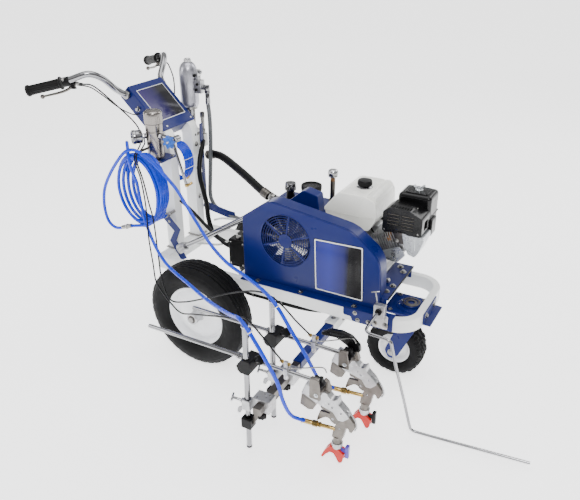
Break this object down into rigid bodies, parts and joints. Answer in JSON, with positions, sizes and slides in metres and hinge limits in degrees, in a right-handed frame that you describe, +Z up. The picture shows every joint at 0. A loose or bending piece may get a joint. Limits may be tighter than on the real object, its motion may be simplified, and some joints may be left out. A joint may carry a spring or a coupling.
{
  "type": "line striping machine",
  "caption": "Walk-behind airless line striper with an engine-driven hydraulic paint pump, steerable frame on pneumatic tyres and height-adjustable spray guns.",
  "frame": {"origin": "on the floor, under the centre of the machine's box without its spray hoses", "axes": "+X forwards in the direction of travel, +Y to the far (left-hand) side, +Z up"},
  "size_m": [1.74, 0.9324, 0.956],
  "materials": {
    "white_enamel": "gloss off-white powder coat",
    "blue_enamel": "gloss deep blue powder coat",
    "zinc_steel": "zinc-plated and stainless steel, satin",
    "chrome_tube": "bright plated tube",
    "cast_alloy": "satin cast and machined aluminium",
    "tyre_rubber": "matt black tyre rubber",
    "grip_rubber": "matt black moulded rubber",
    "rim_white": "gloss white wheel enamel",
    "black_enamel": "gloss black enamel",
    "ivory_tank": "gloss ivory enamel",
    "blue_hose": "smooth bright blue hose cover",
    "black_cable": "satin black hose and cable cover",
    "violet_plastic": "violet moulded plastic",
    "blue_plastic": "mid-blue moulded plastic",
    "belt_rubber": "black belt rubber",
    "black_plastic": "black moulded plastic",
    "red_plastic": "red-orange moulded plastic",
    "brass": "plain brass fittings",
    "panel_film": "dark printed film without lettering"
  },
  "bodies": {
    "machine": {"chassis": "white_enamel", "near_column": "white_enamel", "far_column": "white_enamel", "console_box": "blue_enamel", "caster_plate": "blue_enamel", "bumper_bracket": "blue_enamel", "belt_guard": "blue_enamel", "engine_plate": "blue_enamel", "hydraulic_tank": "blue_enamel", "gun_cross_arm": "blue_enamel", "near_handlebar": "zinc_steel", "far_handlebar": "zinc_steel", "pointer_bracket": "zinc_steel", "paint_filter": "zinc_steel", "pressure_gauge": "zinc_steel", "paint_pump": "zinc_steel", "suction_tube": "chrome_tube", "near_gun_post": "chrome_tube", "far_gun_post": "chrome_tube", "hydraulic_motor": "cast_alloy", "engine_block": "cast_alloy", "hydraulic_pump": "cast_alloy", "near_grip": "grip_rubber", "far_grip": "grip_rubber", "muffler_cover": "black_enamel", "air_cleaner": "black_enamel", "recoil_starter": "black_enamel", "hydraulic_manifold": "black_enamel", "fuel_tank": "ivory_tank", "hose_hank": "blue_hose", "near_spray_hose": "blue_hose", "far_spray_hose": "blue_hose", "near_trigger_cable": "black_cable", "far_trigger_cable": "black_cable", "pressure_hose": "black_cable", "motor_hose": "black_cable", "drive_belt": "belt_rubber"},
    "near_wheel": {"near_tyre": "tyre_rubber", "near_rim": "rim_white"},
    "far_wheel": {"far_tyre": "tyre_rubber", "far_rim": "rim_white"},
    "caster": {"caster_fork": "blue_enamel"},
    "front_wheel": {"front_tyre": "tyre_rubber", "front_rim": "rim_white"},
    "pointer": {"pointer_rod": "zinc_steel"},
    "knob": {"prime_knob": "blue_plastic"},
    "piston": {"pump_rod": "chrome_tube"},
    "engine_pulley": {"drive_pulley": "zinc_steel"},
    "pump_pulley": {"driven_pulley": "zinc_steel"},
    "filler_cap": {"fuel_cap": "black_enamel"},
    "near_carriage": {"near_gun_rod": "chrome_tube", "near_gun": "cast_alloy"},
    "far_carriage": {"far_gun_rod": "chrome_tube", "far_gun": "cast_alloy"},
    "near_gun_trigger": {"near_trigger": "zinc_steel"},
    "far_gun_trigger": {"far_trigger": "zinc_steel"},
    "near_nozzle_key": {"near_tip_key": "violet_plastic"},
    "far_nozzle_key": {"far_tip_key": "black_plastic"},
    "near_trigger_lever": {"near_lever": "zinc_steel"},
    "far_trigger_lever": {"far_lever": "zinc_steel"}
  },
  "joints": [
    {"name": "near_wheel_roll", "type": "hinge", "parent": "machine", "child": "near_wheel", "pos_m": [-0.2504, -0.1189, 0.188], "axis": [0, 1, 0], "continuous": true},
    {"name": "far_wheel_roll", "type": "hinge", "parent": "machine", "child": "far_wheel", "pos_m": [-0.2504, 0.4011, 0.188], "axis": [0, 1, 0], "continuous": true},
    {"name": "caster_swivel", "type": "hinge", "parent": "machine", "child": "caster", "pos_m": [0.4096, 0.1411, 0.25], "axis": [0, 0, 1], "continuous": true},
    {"name": "front_wheel_roll", "type": "hinge", "parent": "caster", "child": "front_wheel", "pos_m": [0.3726, 0.1411, 0.0995], "axis": [0, 1, 0], "continuous": true},
    {"name": "near_lever_squeeze", "type": "hinge", "parent": "machine", "child": "near_trigger_lever", "pos_m": [-0.7364, -0.0799, 0.905], "axis": [0, 0, 1], "range_deg": [0, 12], "stiffness_Nm_per_rad": 0.6, "springref_deg": -8.59},
    {"name": "far_lever_squeeze", "type": "hinge", "parent": "machine", "child": "far_trigger_lever", "pos_m": [-0.7364, 0.3621, 0.905], "axis": [0, 0, -1], "range_deg": [0, 12], "stiffness_Nm_per_rad": 0.6, "springref_deg": -8.59},
    {"name": "pointer_lift", "type": "hinge", "parent": "machine", "child": "pointer", "pos_m": [0.3646, -0.0385, 0.331], "axis": [0, -1, 0], "range_deg": [0, 110]},
    {"name": "knob_turn", "type": "hinge", "parent": "machine", "child": "knob", "pos_m": [-0.3784, -0.0549, 0.756], "axis": [0, -1, 0], "range_deg": [-150, 150]},
    {"name": "piston_stroke", "type": "slide", "parent": "machine", "child": "piston", "axis": [0, 0, 1], "range_m": [-0.025, 0.025]},
    {"name": "engine_pulley_spin", "type": "hinge", "parent": "machine", "child": "engine_pulley", "pos_m": [0.2196, 0.0371, 0.43], "axis": [0, 1, 0], "continuous": true},
    {"name": "pump_pulley_spin", "type": "hinge", "parent": "machine", "child": "pump_pulley", "pos_m": [0.0156, 0.0371, 0.468], "axis": [0, 1, 0], "continuous": true},
    {"name": "filler_cap_turn", "type": "hinge", "parent": "machine", "child": "filler_cap", "pos_m": [0.2016, 0.2011, 0.637], "axis": [0, 0, 1], "range_deg": [0, 90]},
    {"name": "near_gun_height", "type": "slide", "parent": "machine", "child": "near_carriage", "axis": [0, 0, 1], "range_m": [-0.02, 0.1], "deforming": ["near_spray_hose", "near_trigger_cable"]},
    {"name": "far_gun_height", "type": "slide", "parent": "machine", "child": "far_carriage", "axis": [0, 0, 1], "range_m": [-0.02, 0.1], "deforming": ["far_spray_hose", "far_trigger_cable"]},
    {"name": "near_trigger_pull", "type": "hinge", "parent": "near_carriage", "child": "near_gun_trigger", "pos_m": [0.3716, -0.3739, 0.177], "axis": [0, 1, 0], "range_deg": [0, 12]},
    {"name": "far_trigger_pull", "type": "hinge", "parent": "far_carriage", "child": "far_gun_trigger", "pos_m": [0.3896, -0.2189, 0.187], "axis": [0, 1, 0], "range_deg": [0, 12]},
    {"name": "near_key_turn", "type": "hinge", "parent": "near_carriage", "child": "near_nozzle_key", "pos_m": [0.3896, -0.3739, 0.069], "axis": [1, 0, 0], "range_deg": [0, 180]},
    {"name": "far_key_turn", "type": "hinge", "parent": "far_carriage", "child": "far_nozzle_key", "pos_m": [0.4076, -0.2189, 0.079], "axis": [1, 0, 0], "range_deg": [0, 180]}
  ],
  "couplings": [
    {"joint": "pump_pulley_spin", "follows": "engine_pulley_spin", "ratio": 0.5574},
    {"joint": "near_trigger_pull", "follows": "near_lever_squeeze", "ratio": 1},
    {"joint": "far_trigger_pull", "follows": "far_lever_squeeze", "ratio": 1}
  ]
}
